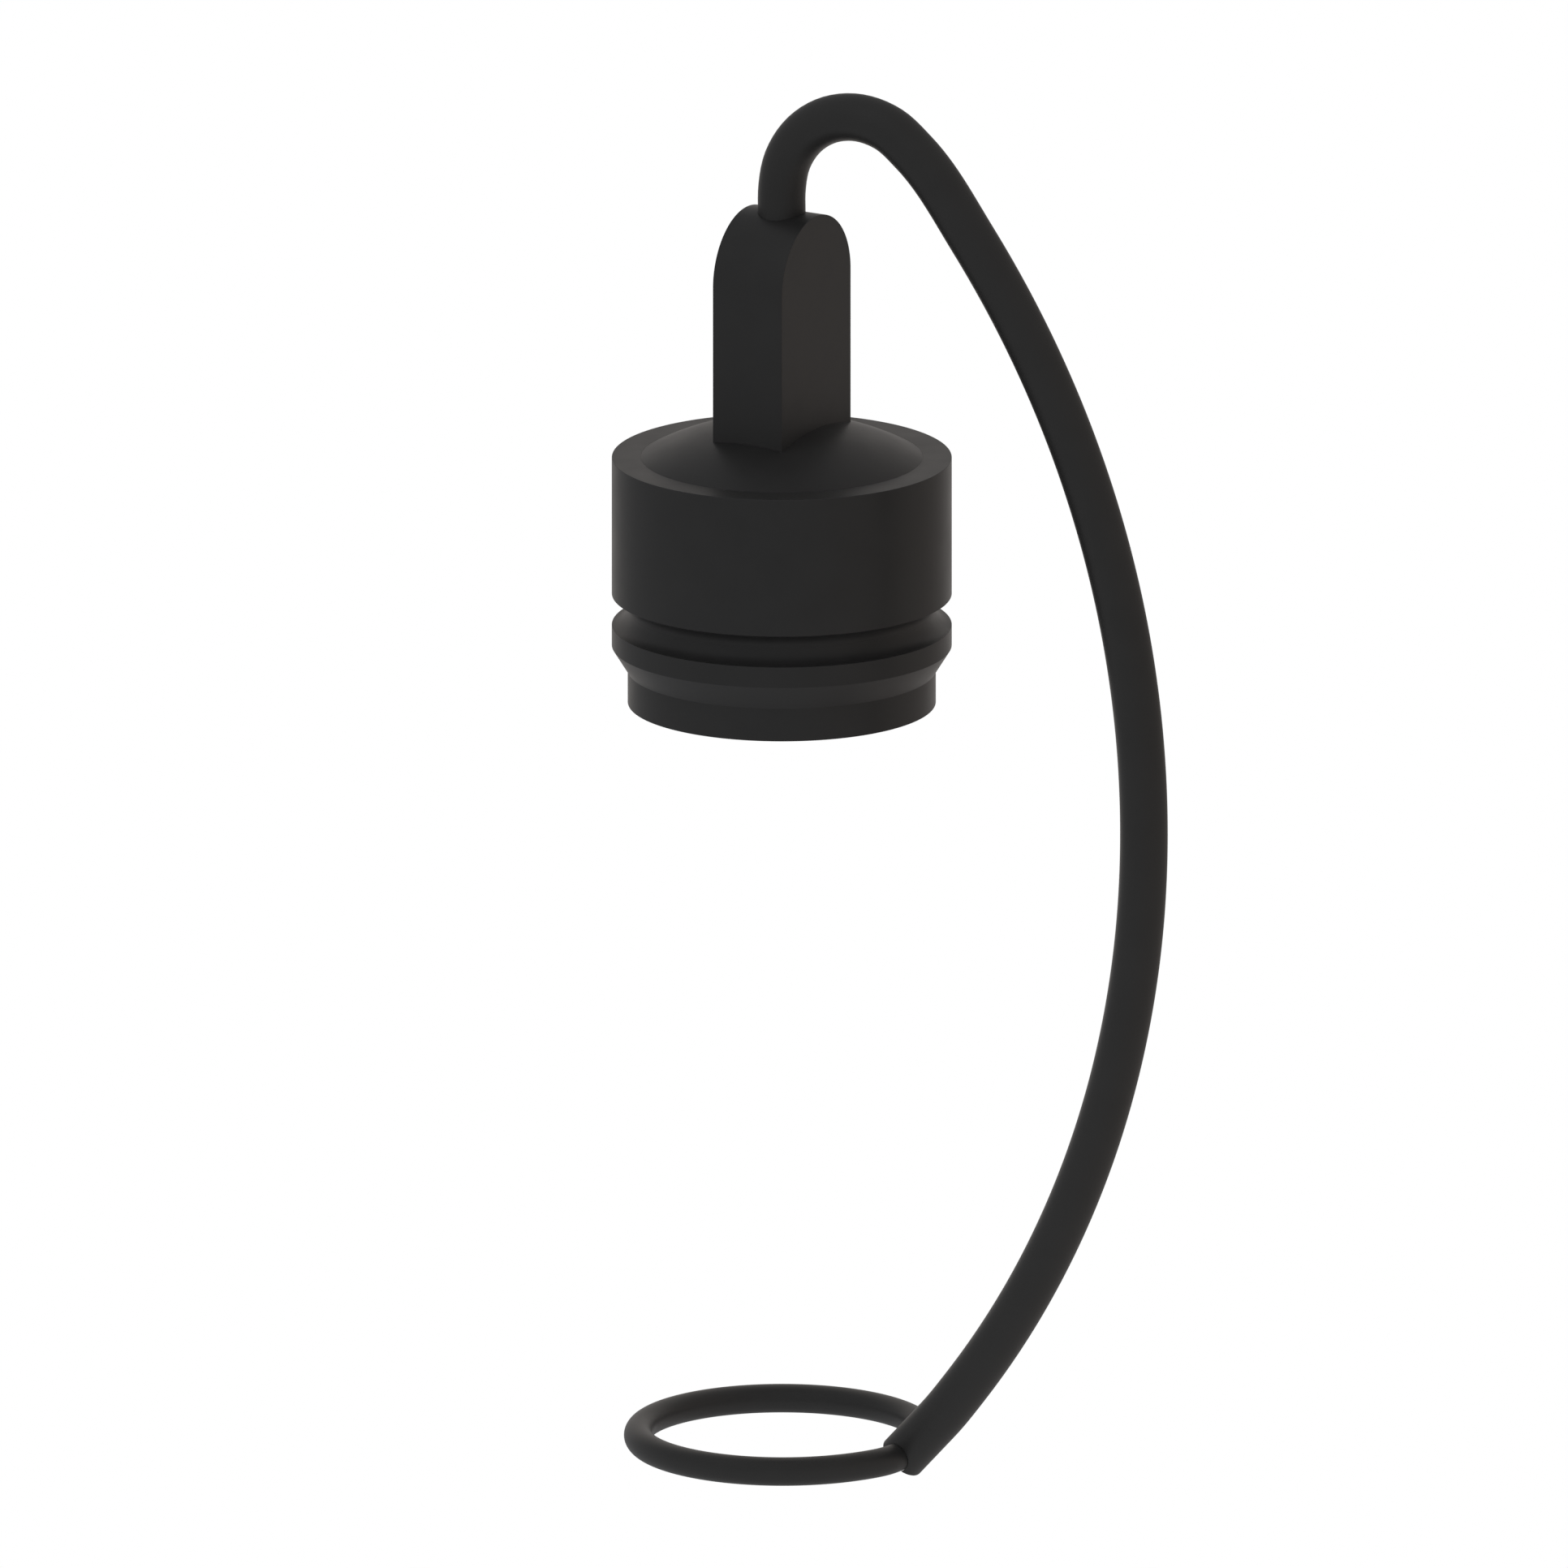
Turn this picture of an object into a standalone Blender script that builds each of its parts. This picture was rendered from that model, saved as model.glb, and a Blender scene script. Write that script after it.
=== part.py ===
"""A dust plug for a hydraulic quick coupling, with its tether and retaining ring.

Metres, +Z up. The origin is the centre of the plug's nose face, the end that enters the coupling
first, and +Z runs up the plug's axis to the pull tab. The tether lies in the XZ plane, out to +X.
"""

import math

import bmesh
import bpy
from mathutils import Vector

# Plug outside, from the nose up: what the coupling's socket takes in and its balls lock.
PLUG_DIAMETER = 0.0320
NOSE_DIAMETER = 0.0290
NOSE_HEIGHT = 0.0032
CONE_HEIGHT = 0.0024
LAND_HEIGHT = 0.0020
GROOVE_RADIUS = 0.0015
SKIRT_HEIGHT = 0.0133
RIM_WIDTH = 0.0028

# Pull handle: a dome on a thin flange, the tab above it and a hollow stem below.
DOME_HEIGHT = 0.00343
FLANGE_THICKNESS = 0.0014
TAB_THICKNESS = 0.0075
TAB_WIDTH = 0.0130
TAB_HEIGHT = 0.0239
STEM_DIAMETER = 0.0130

# Walls and seals inside the plug.
BODY_WALL = 0.0022
DECK_THICKNESS = 0.0030
NOSE_FLOOR = 0.0030
GASKET_THICKNESS = 0.0008
SEAL_SECTION = 0.0011
SEAL_LIFT = 0.0040

# The one screw that draws nose piece, body and handle together.
SCREW_DIAMETER = 0.0080
SCREW_LENGTH = 0.0120
SCREW_HEAD_DIAMETER = 0.0140
SCREW_HEAD_HEIGHT = 0.0044
SCREW_HEAD_ROUND = 0.0022
SCREW_SOCKET_WIDTH = 0.0050
SCREW_SOCKET_DEPTH = 0.0026
SCREW_CHAMFER = 0.0007
HEAD_SINK = 0.0003
HEAD_CLEARANCE = 0.0004
SCREW_WASHER_THICKNESS = 0.0010
SCREW_WASHER_WIDTH = 0.0026

# Tether: a round cord, the ferrule that traps its upper end and the washer it turns on.
TETHER_DIAMETER = 0.0045
FERRULE_WALL = 0.00075
FERRULE_LENGTH = 0.0060
FERRULE_FLOOR = 0.0009
SWIVEL_WASHER_THICKNESS = 0.0006

# Ring and the eye on the tether's lower end that clips round it.
RING_DIAMETER = 0.0270
RING_WIRE = 0.0027
RING_DROP = 0.0713
EYE_WALL = 0.00045
EYE_FLARE = 0.0003
EYE_LENGTH = 0.0050
EYE_LIP = 0.0009
EYE_LEAN = math.radians(43.0)

# The tether's centreline from its exit at the top of the tab, as (out, up) from that point.
TETHER_ROUTE = [
    (0.00000, 0.00188),
    (0.00064, 0.00509),
    (0.00248, 0.00781),
    (0.00523, 0.00960),
    (0.00846, 0.01019),
    (0.01167, 0.00948),
    (0.01435, 0.00759),
    (0.02078, -0.00006),
    (0.02636, -0.00834),
    (0.03102, -0.01718),
    (0.03468, -0.02647),
    (0.03731, -0.03610),
    (0.03887, -0.04597),
    (0.03935, -0.05594),
    (0.03875, -0.06591),
    (0.03706, -0.07576),
    (0.03431, -0.08536),
    (0.03053, -0.09460),
    (0.02577, -0.10338),
    (0.02008, -0.11159),
]

# Clearances: between fixed neighbours, round the seal, and round the two parts that turn.
SEAT_GAP = 0.0003
SEAL_GAP = 0.00015
SWIVEL_CLEARANCE = 0.0002
EYE_CLEARANCE = 0.00015

# Facets.
PLUG_FACETS = 48
SMALL_FACETS = 32
WIRE_FACETS = 12
CURVE_STEPS = 6
ARCH_STEPS = 20
HEXAGON_SIDES = 6
TETHER_STEP = 0.0045
TETHER_BEVEL_STEPS = 4
WELD = 1e-6
SMOOTH_ANGLE = math.radians(35)
CUT_MARGIN = 0.001

# Levels up the axis.
LAND_BASE = NOSE_HEIGHT + CONE_HEIGHT
LAND_TOP = LAND_BASE + LAND_HEIGHT
GROOVE_MIDDLE = LAND_TOP + GROOVE_RADIUS
SKIRT_BASE = GROOVE_MIDDLE + GROOVE_RADIUS
RIM_LEVEL = SKIRT_BASE + SKIRT_HEIGHT
FLANGE_BASE = RIM_LEVEL - FLANGE_THICKNESS
GASKET_TOP = FLANGE_BASE - SEAT_GAP
GASKET_BASE = GASKET_TOP - GASKET_THICKNESS
DECK_TOP = GASKET_BASE - SEAT_GAP
DECK_BASE = DECK_TOP - DECK_THICKNESS
TAB_TOP = RIM_LEVEL + TAB_HEIGHT
HEAD_TOP = HEAD_SINK + SCREW_HEAD_HEIGHT
SCREW_TIP = HEAD_TOP + SCREW_LENGTH
SCREW_WASHER_BASE = HEAD_TOP + SEAT_GAP
SCREW_WASHER_TOP = SCREW_WASHER_BASE + SCREW_WASHER_THICKNESS
HEAD_RECESS_DEPTH = SCREW_WASHER_TOP + SEAT_GAP
STEM_SOCKET_FLOOR = HEAD_RECESS_DEPTH + NOSE_FLOOR
STEM_BASE = STEM_SOCKET_FLOOR + SEAT_GAP
THREAD_TOP = SCREW_TIP + SEAT_GAP
FERRULE_BASE = THREAD_TOP + SEAT_GAP
FERRULE_TOP = FERRULE_BASE + FERRULE_LENGTH
TETHER_BASE = FERRULE_BASE + FERRULE_FLOOR + SEAT_GAP
SWIVEL_WASHER_BASE = FERRULE_TOP + SEAT_GAP
SWIVEL_WASHER_TOP = SWIVEL_WASHER_BASE + SWIVEL_WASHER_THICKNESS
FERRULE_POCKET_TOP = SWIVEL_WASHER_TOP + SEAT_GAP

# Radii about the axis.
PLUG_RADIUS = PLUG_DIAMETER / 2
NOSE_RADIUS = NOSE_DIAMETER / 2
DOME_RADIUS = PLUG_RADIUS - RIM_WIDTH
FLANGE_RECESS_RADIUS = DOME_RADIUS + SEAT_GAP
CAVITY_RADIUS = PLUG_RADIUS - GROOVE_RADIUS - BODY_WALL
SPIGOT_RADIUS = CAVITY_RADIUS - SEAT_GAP
SEAL_GROOVE_RADIUS = CAVITY_RADIUS - SEAL_SECTION - 2 * SEAL_GAP
STEM_RADIUS = STEM_DIAMETER / 2
STEM_HOLE_RADIUS = STEM_RADIUS + SEAT_GAP
SCREW_RADIUS = SCREW_DIAMETER / 2
SCREW_HOLE_RADIUS = SCREW_RADIUS + SEAT_GAP
SCREW_HEAD_RADIUS = SCREW_HEAD_DIAMETER / 2
HEAD_RECESS_RADIUS = SCREW_HEAD_RADIUS + HEAD_CLEARANCE
TETHER_RADIUS = TETHER_DIAMETER / 2
TETHER_BORE_RADIUS = TETHER_RADIUS + SWIVEL_CLEARANCE
FERRULE_RADIUS = TETHER_BORE_RADIUS + FERRULE_WALL
FERRULE_POCKET_RADIUS = FERRULE_RADIUS + SEAT_GAP
RING_RADIUS = RING_DIAMETER / 2
WIRE_RADIUS = RING_WIRE / 2
EYE_HOLE_RADIUS = WIRE_RADIUS + EYE_CLEARANCE
EYE_RADIUS = EYE_HOLE_RADIUS + EYE_FLARE + EYE_WALL

# The two turning axes: the tether's own at the top of the tab, and the ring's wire in its eye.
SWIVEL_POINT = Vector((0, 0, TAB_TOP))
RING_POINT = Vector((RING_RADIUS, 0, -RING_DROP))
EYE_DIRECTION = Vector((-math.sin(EYE_LEAN), 0, -math.cos(EYE_LEAN)))


def finish(name, colour, roughness, metallic=0.0):
    """A plain Principled material."""
    material = bpy.data.materials.new(name)
    material.use_nodes = True
    shader = material.node_tree.nodes["Principled BSDF"]
    shader.inputs["Base Color"].default_value = (*colour, 1)
    shader.inputs["Roughness"].default_value = roughness
    shader.inputs["Metallic"].default_value = metallic
    return material


def arc(centre, radius, start, end, steps=CURVE_STEPS):
    """Points on an arc from one angle to another, in degrees, ends included."""
    points = []
    for step in range(steps + 1):
        angle = math.radians(start + (end - start) * step / steps)
        points.append((centre[0] + radius * math.cos(angle), centre[1] + radius * math.sin(angle)))
    return points


def solid(name, form, material):
    """An object made from a closed form, faces outward and round faces shaded smooth."""
    bmesh.ops.remove_doubles(form, verts=form.verts, dist=WELD)
    bmesh.ops.recalc_face_normals(form, faces=form.faces)
    mesh = bpy.data.meshes.new(name)
    form.to_mesh(mesh)
    form.free()
    mesh.shade_smooth()
    mesh.set_sharp_from_angle(angle=SMOOTH_ANGLE)
    piece = bpy.data.objects.new(name, mesh)
    bpy.context.collection.objects.link(piece)
    if material:
        mesh.materials.append(material)
    return piece


def turned(name, outline, material=None, facets=SMALL_FACETS):
    """A solid turned about Z from a closed outline of (radius, height) points."""
    form = bmesh.new()
    corners = [form.verts.new((radius, 0, height)) for radius, height in outline]
    sides = []
    for start, end in zip(corners, corners[1:] + corners[:1]):
        if start.co.x > WELD or end.co.x > WELD:
            sides.append(form.edges.new((start, end)))
    bmesh.ops.spin(form, geom=corners + sides, cent=(0, 0, 0), axis=(0, 0, 1), angle=math.tau, steps=facets)
    return solid(name, form, material)


def washer(name, inner, outer, base, top, material, facets=SMALL_FACETS):
    """A flat ring."""
    return turned(name, [(inner, base), (outer, base), (outer, top), (inner, top)], material, facets)


def prism(name, outline, low, high, material=None):
    """A solid drawn along X from a closed outline of (y, z) points."""
    form = bmesh.new()
    face = form.faces.new([form.verts.new((low, y, z)) for y, z in outline])
    drawn = bmesh.ops.extrude_face_region(form, geom=[face])["geom"]
    moved = [item for item in drawn if isinstance(item, bmesh.types.BMVert)]
    bmesh.ops.translate(form, verts=moved, vec=(high - low, 0, 0))
    return solid(name, form, material)


def combine(piece, tool, operation):
    """Adds a Boolean with a tool that is itself left out of the model."""
    tool.hide_render = True
    tool.display_type = "WIRE"
    step = piece.modifiers.new(tool.name, "BOOLEAN")
    step.operation = operation
    step.object = tool


def axis(name, point):
    """An empty on a turning axis, which carries what turns about it."""
    empty = bpy.data.objects.new(name, None)
    empty.location = point
    bpy.context.collection.objects.link(empty)
    return empty


def carry(empty, piece, place=(0, 0, 0)):
    """Parents a piece to an axis, with its own origin at a place in the model."""
    piece.parent = empty
    piece.location = Vector(place) - empty.location


def smooth_route(points, before, after):
    """Points along a smooth curve through the route, led in and out by one more point each."""
    line = [before, *points, after]
    slopes = []
    for left, here, right in zip(line, line[1:], line[2:]):
        back, ahead = (here - left).length, (right - here).length
        slopes.append(((here - left) / back * ahead + (right - here) / ahead * back) / (back + ahead))
    placed = [points[0]]
    for start, end, leave, arrive in zip(points, points[1:], slopes, slopes[1:]):
        span = (end - start).length
        steps = max(2, math.ceil(span / TETHER_STEP))
        for step in range(1, steps + 1):
            t = step / steps
            from_ends = start * (1 + 2 * t) * (1 - t) ** 2 + end * (3 - 2 * t) * t**2
            from_slopes = leave * t * (1 - t) ** 2 + arrive * (t - 1) * t**2
            placed.append(from_ends + from_slopes * span)
    return placed


def make_plug_body(material):
    """The sleeve: skirt, flat rim, deck for the gasket and the upper half of the groove."""
    seam = GROOVE_MIDDLE + SEAT_GAP / 2
    seam_angle = 180 - math.degrees(math.asin((seam - GROOVE_MIDDLE) / GROOVE_RADIUS))
    outline = [(CAVITY_RADIUS, seam)]
    outline += arc((PLUG_RADIUS, GROOVE_MIDDLE), GROOVE_RADIUS, seam_angle, 90)
    outline += [
        (PLUG_RADIUS, RIM_LEVEL),
        (FLANGE_RECESS_RADIUS, RIM_LEVEL),
        (FLANGE_RECESS_RADIUS, DECK_TOP),
        (STEM_HOLE_RADIUS, DECK_TOP),
        (STEM_HOLE_RADIUS, DECK_BASE),
        (CAVITY_RADIUS, DECK_BASE),
    ]
    turned("plug_body", outline, material, PLUG_FACETS)


def make_nose_piece(material):
    """The nose, cone, land and lower half of the groove, with the spigot that fills the body."""
    seam = GROOVE_MIDDLE - SEAT_GAP / 2
    seam_angle = 180 + math.degrees(math.asin((GROOVE_MIDDLE - seam) / GROOVE_RADIUS))
    spigot_top = DECK_BASE - SEAT_GAP
    seal_middle = GROOVE_MIDDLE + SEAL_LIFT
    seal_reach = SEAL_SECTION / 2 + SEAL_GAP
    outline = [
        (SCREW_HOLE_RADIUS, HEAD_RECESS_DEPTH),
        (HEAD_RECESS_RADIUS, HEAD_RECESS_DEPTH),
        (HEAD_RECESS_RADIUS, 0),
        (NOSE_RADIUS, 0),
        (NOSE_RADIUS, NOSE_HEIGHT),
        (PLUG_RADIUS, LAND_BASE),
    ]
    outline += arc((PLUG_RADIUS, GROOVE_MIDDLE), GROOVE_RADIUS, 270, seam_angle)
    outline += [
        (SPIGOT_RADIUS, seam),
        (SPIGOT_RADIUS, seal_middle - seal_reach),
        (SEAL_GROOVE_RADIUS, seal_middle - seal_reach),
        (SEAL_GROOVE_RADIUS, seal_middle + seal_reach),
        (SPIGOT_RADIUS, seal_middle + seal_reach),
        (SPIGOT_RADIUS, spigot_top),
        (STEM_HOLE_RADIUS, spigot_top),
        (STEM_HOLE_RADIUS, STEM_SOCKET_FLOOR),
        (SCREW_HOLE_RADIUS, STEM_SOCKET_FLOOR),
    ]
    turned("nose_piece", outline, material, PLUG_FACETS)


def make_nose_seal(material):
    """The O-ring in the spigot's groove."""
    middle = (CAVITY_RADIUS - SEAL_GAP - SEAL_SECTION / 2, GROOVE_MIDDLE + SEAL_LIFT)
    section = arc(middle, SEAL_SECTION / 2, 0, 360, WIRE_FACETS)
    turned("nose_seal", section[:-1], material, PLUG_FACETS)


def make_pull_handle(material):
    """Dome, flange and stem turned as one, joined to the tab and bored for tether, ferrule and screw."""
    dome_sphere = (DOME_RADIUS**2 + DOME_HEIGHT**2) / (2 * DOME_HEIGHT)
    dome_centre = (0, RIM_LEVEL + DOME_HEIGHT - dome_sphere)
    edge_angle = math.degrees(math.acos(DOME_RADIUS / dome_sphere))
    outline = arc(dome_centre, dome_sphere, 90, edge_angle)
    outline += [
        (DOME_RADIUS, FLANGE_BASE),
        (STEM_RADIUS, FLANGE_BASE),
        (STEM_RADIUS, STEM_BASE),
        (0, STEM_BASE),
    ]
    handle = turned("pull_handle", outline, material, PLUG_FACETS)

    arch_radius = TAB_WIDTH / 2
    side = [(arch_radius, RIM_LEVEL), *arc((0, TAB_TOP - arch_radius), arch_radius, 0, 180, ARCH_STEPS)]
    side.append((-arch_radius, RIM_LEVEL))
    tab = prism("tab_join", side, -TAB_THICKNESS / 2, TAB_THICKNESS / 2)
    combine(handle, tab, "UNION")

    bore = [
        (0, STEM_BASE - CUT_MARGIN),
        (SCREW_HOLE_RADIUS, STEM_BASE - CUT_MARGIN),
        (SCREW_HOLE_RADIUS, THREAD_TOP),
        (FERRULE_POCKET_RADIUS, THREAD_TOP),
        (FERRULE_POCKET_RADIUS, FERRULE_POCKET_TOP),
        (TETHER_BORE_RADIUS, FERRULE_POCKET_TOP),
        (TETHER_BORE_RADIUS, TAB_TOP + CUT_MARGIN),
        (0, TAB_TOP + CUT_MARGIN),
    ]
    combine(handle, turned("handle_bore_cut", bore), "DIFFERENCE")


def make_clamp_screw(material):
    """A round-headed socket screw, its head sunk in the nose and its shank in the handle's stem."""
    flat = SCREW_HEAD_RADIUS - SCREW_HEAD_ROUND
    outline = [(0, HEAD_SINK)]
    outline += arc((flat, HEAD_SINK + SCREW_HEAD_ROUND), SCREW_HEAD_ROUND, -90, 0)
    outline += [
        (SCREW_HEAD_RADIUS, HEAD_TOP),
        (SCREW_RADIUS, HEAD_TOP),
        (SCREW_RADIUS, SCREW_TIP - SCREW_CHAMFER),
        (SCREW_RADIUS - SCREW_CHAMFER, SCREW_TIP),
        (0, SCREW_TIP),
    ]
    screw = turned("clamp_screw", outline, material)
    hexagon = SCREW_SOCKET_WIDTH / math.sqrt(3)
    depth = HEAD_SINK + SCREW_SOCKET_DEPTH
    socket = [(0, HEAD_SINK - CUT_MARGIN), (hexagon, HEAD_SINK - CUT_MARGIN), (hexagon, depth), (0, depth)]
    combine(screw, turned("screw_socket_cut", socket, facets=HEXAGON_SIDES), "DIFFERENCE")


def make_tether(swivel, cord_material, ferrule_material, washer_material):
    """The cord from its ferrule to the eye, with the ferrule and washer that trap its upper end."""
    eye_top = RING_POINT - EYE_DIRECTION * (EYE_LENGTH + SEAT_GAP)
    route = [Vector((0, 0, TETHER_BASE)), SWIVEL_POINT]
    route += [SWIVEL_POINT + Vector((out, 0, up)) for out, up in TETHER_ROUTE]
    route.append(eye_top)
    line = smooth_route(route, route[0] - Vector((0, 0, TETHER_DIAMETER)), RING_POINT)

    curve = bpy.data.curves.new("tether_cord", "CURVE")
    curve.dimensions = "3D"
    curve.bevel_depth = TETHER_RADIUS
    curve.bevel_resolution = TETHER_BEVEL_STEPS
    curve.use_fill_caps = True
    curve.materials.append(cord_material)
    spline = curve.splines.new("POLY")
    spline.points.add(len(line) - 1)
    for point, place in zip(spline.points, line):
        point.co = (*place, 1)
    cord = bpy.data.objects.new("tether_cord", curve)
    bpy.context.collection.objects.link(cord)
    carry(swivel, cord)

    cup = [
        (0, FERRULE_BASE),
        (FERRULE_RADIUS, FERRULE_BASE),
        (FERRULE_RADIUS, FERRULE_TOP),
        (TETHER_BORE_RADIUS, FERRULE_TOP),
        (TETHER_BORE_RADIUS, FERRULE_BASE + FERRULE_FLOOR),
        (0, FERRULE_BASE + FERRULE_FLOOR),
    ]
    carry(swivel, turned("cord_ferrule", cup, ferrule_material))
    thrust = washer(
        "swivel_washer",
        TETHER_BORE_RADIUS,
        FERRULE_RADIUS,
        SWIVEL_WASHER_BASE,
        SWIVEL_WASHER_TOP,
        washer_material,
    )
    carry(swivel, thrust)


def make_tether_eye(swivel, material):
    """The tether's lower end: a short round end with a flared cross hole that snaps over the ring."""
    stub = [(0, -EYE_LENGTH), (EYE_RADIUS, -EYE_LENGTH), (EYE_RADIUS, EYE_LIP), (0, EYE_LIP)]
    eye = turned("tether_eye", stub, material)
    reach = EYE_RADIUS + CUT_MARGIN
    flared = [(0, reach), (0, -reach)]
    for step in range(-CURVE_STEPS, CURVE_STEPS + 1):
        along = reach * step / CURVE_STEPS
        flared.append((EYE_HOLE_RADIUS + EYE_FLARE * (along / EYE_RADIUS) ** 2, along))
    cut = turned("eye_hole_cut", flared)
    cut.rotation_euler = (math.radians(90), 0, 0)
    cut.location = RING_POINT
    combine(eye, cut, "DIFFERENCE")
    carry(swivel, eye, RING_POINT)
    eye.rotation_euler = (0, EYE_LEAN - math.pi, 0)


def make_anchor_ring(hinge, material):
    """The thin ring, level under the plug and on its axis, carried on its wire in the eye."""
    section = arc((RING_RADIUS, 0), WIRE_RADIUS, 0, 360, WIRE_FACETS)
    ring = turned("anchor_ring", section[:-1], material, PLUG_FACETS)
    carry(hinge, ring, (0, 0, -RING_DROP))


for old in list(bpy.data.objects):
    bpy.data.objects.remove(old)

black_nylon = finish("black_nylon", (0.024, 0.024, 0.024), 0.45)
black_rubber = finish("black_rubber", (0.022, 0.022, 0.022), 0.55)
plated_steel = finish("plated_steel", (0.45, 0.45, 0.46), 0.35, 1.0)
soft_aluminium = finish("soft_aluminium", (0.70, 0.70, 0.71), 0.40, 1.0)
white_nylon = finish("white_nylon", (0.75, 0.74, 0.70), 0.45)

swivel_axis = axis("swivel_axis", SWIVEL_POINT)
ring_axis = axis("ring_axis", RING_POINT)

make_plug_body(black_nylon)
make_nose_piece(black_nylon)
make_nose_seal(black_rubber)
make_pull_handle(black_nylon)
washer("handle_gasket", STEM_HOLE_RADIUS, DOME_RADIUS, GASKET_BASE, GASKET_TOP, black_rubber, PLUG_FACETS)
make_clamp_screw(plated_steel)
washer(
    "screw_washer",
    SCREW_HOLE_RADIUS,
    SCREW_HOLE_RADIUS + SCREW_WASHER_WIDTH,
    SCREW_WASHER_BASE,
    SCREW_WASHER_TOP,
    black_rubber,
)
make_tether(swivel_axis, black_rubber, soft_aluminium, white_nylon)
make_tether_eye(swivel_axis, black_rubber)
make_anchor_ring(ring_axis, black_rubber)
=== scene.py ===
"""Looks of a dust plug for a hydraulic quick coupling, with its tether and retaining ring.

Metres, +Z up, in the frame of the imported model: the origin is the centre of the plug's nose face,
+Z runs up to the pull tab and the tether lies in the XZ plane, out to +X.
"""

import math

import bmesh
import bpy
from mathutils import Matrix, Vector


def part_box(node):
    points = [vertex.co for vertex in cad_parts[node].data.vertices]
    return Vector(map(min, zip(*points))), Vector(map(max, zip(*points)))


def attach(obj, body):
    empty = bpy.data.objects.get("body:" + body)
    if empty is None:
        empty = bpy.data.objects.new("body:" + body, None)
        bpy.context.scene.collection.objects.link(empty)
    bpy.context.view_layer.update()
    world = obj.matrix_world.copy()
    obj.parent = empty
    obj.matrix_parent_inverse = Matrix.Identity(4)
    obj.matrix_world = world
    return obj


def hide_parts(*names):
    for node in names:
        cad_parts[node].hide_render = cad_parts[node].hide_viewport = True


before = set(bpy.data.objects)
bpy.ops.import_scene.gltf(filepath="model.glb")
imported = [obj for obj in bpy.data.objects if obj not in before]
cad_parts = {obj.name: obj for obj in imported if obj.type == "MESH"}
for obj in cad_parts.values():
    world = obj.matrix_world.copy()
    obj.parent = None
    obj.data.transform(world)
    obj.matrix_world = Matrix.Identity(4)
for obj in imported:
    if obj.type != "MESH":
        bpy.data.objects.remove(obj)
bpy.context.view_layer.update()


# Camera
# The photograph has no perspective: it looks 30 degrees round from the tether's plane and 14.8
# degrees down. Its scale comes from the plug's width in pixels, its framing from the rim's centre.
PHOTO_SIDE = 1932
PLUG_PIXELS = 419
RIM_PIXEL = (963.25, 562.7)
VIEW_ROUND = math.radians(30)
VIEW_DOWN = math.radians(14.8)
CAMERA_DISTANCE = 0.5

body_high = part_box("plug_body")[1]
plug_radius = body_high.x
rim_level = body_high.z
pixel = 2 * plug_radius / PLUG_PIXELS

view_right = Vector((math.cos(VIEW_ROUND), math.sin(VIEW_ROUND), 0))
view_back = Vector((
    math.sin(VIEW_ROUND) * math.cos(VIEW_DOWN),
    -math.cos(VIEW_ROUND) * math.cos(VIEW_DOWN),
    math.sin(VIEW_DOWN),
))
view_up = view_back.cross(view_right)
rim_right = (RIM_PIXEL[0] - PHOTO_SIDE / 2) * pixel
rim_up = (PHOTO_SIDE / 2 - RIM_PIXEL[1]) * pixel
view_middle = Vector((0, 0, rim_level)) - view_right * rim_right - view_up * rim_up

lens = bpy.data.cameras.new("photo_camera")
lens.type = "ORTHO"
lens.ortho_scale = PHOTO_SIDE * pixel
camera = bpy.data.objects.new("photo_camera", lens)
camera.location = view_middle + view_back * CAMERA_DISTANCE
camera.rotation_euler = (math.pi / 2 - VIEW_DOWN, 0, VIEW_ROUND)
bpy.context.collection.objects.link(camera)
bpy.context.scene.camera = camera
bpy.context.scene.view_settings.view_transform = "Standard"


# Nose piece
# The end that enters the coupling: nose, cone, land and the lower half of the ball groove, moulded
# in black nylon. Its spigot fills the body, and the clamp screw draws it up against the groove's seam.
NYLON_COLOUR = (0.0122, 0.0122, 0.0123, 1)
NYLON_ROUGHNESS = 0.42
NYLON_GRAIN_SCALE = 5500
NYLON_GRAIN_DEPTH = 0.0000025
GRAIN_DETAIL = 2.0
CLOUD_SCALE = 260
CLOUD_DETAIL = 3.0
CLOUD_RANGE = (0.25, 0.75)
MOULD_MOTTLE = 0.08
MOULD_ROUGHNESS_SPREAD = 0.03
MOULD_EDGE_SHINE = 0.25
SATIN_SHEEN = 0.05
SATIN_SHEEN_ROUGHNESS = 0.3

NOSE_RADIUS = 0.0145
NOSE_HEIGHT = 0.0032
LAND_BASE = 0.0056
LAND_TOP = 0.0076
GROOVE_RADIUS = 0.0015
GROOVE_SEAM = 0.000006
HEAD_RECESS_RADIUS = 0.0074
HEAD_RECESS_DEPTH = 0.0063
SCREW_HOLE_RADIUS = 0.0043
STEM_SOCKET_FLOOR = 0.0093
STEM_HOLE_RADIUS = 0.0068
SPIGOT_RADIUS = 0.0120
SEAL_GROOVE_RADIUS = 0.0109
SEAL_ROOM = 0.00015
MOULD_ROUND = 0.00006
MOUTH_ROUND = 0.00030
ROUND_STEPS = 5
PLUG_SEGMENTS = 192
GROOVE_STEPS = 24
SHARP_ANGLE = math.radians(28)
FLAT_FACE_AREA = 0.00002
RUBBED_BEND = math.radians(11)
SQUARE_BEND = math.radians(60)
NARROW_FACE = 0.00015


def add_node(tree, kind, inputs=None, **settings):
    """A shader node with its settings. Each input takes a value or another node's output."""
    node = tree.nodes.new(kind)
    for name, value in settings.items():
        setattr(node, name, value)
    for name, value in (inputs or {}).items():
        if isinstance(value, bpy.types.NodeSocket):
            tree.links.new(value, node.inputs[name])
        else:
            node.inputs[name].default_value = value
    return node


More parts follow.
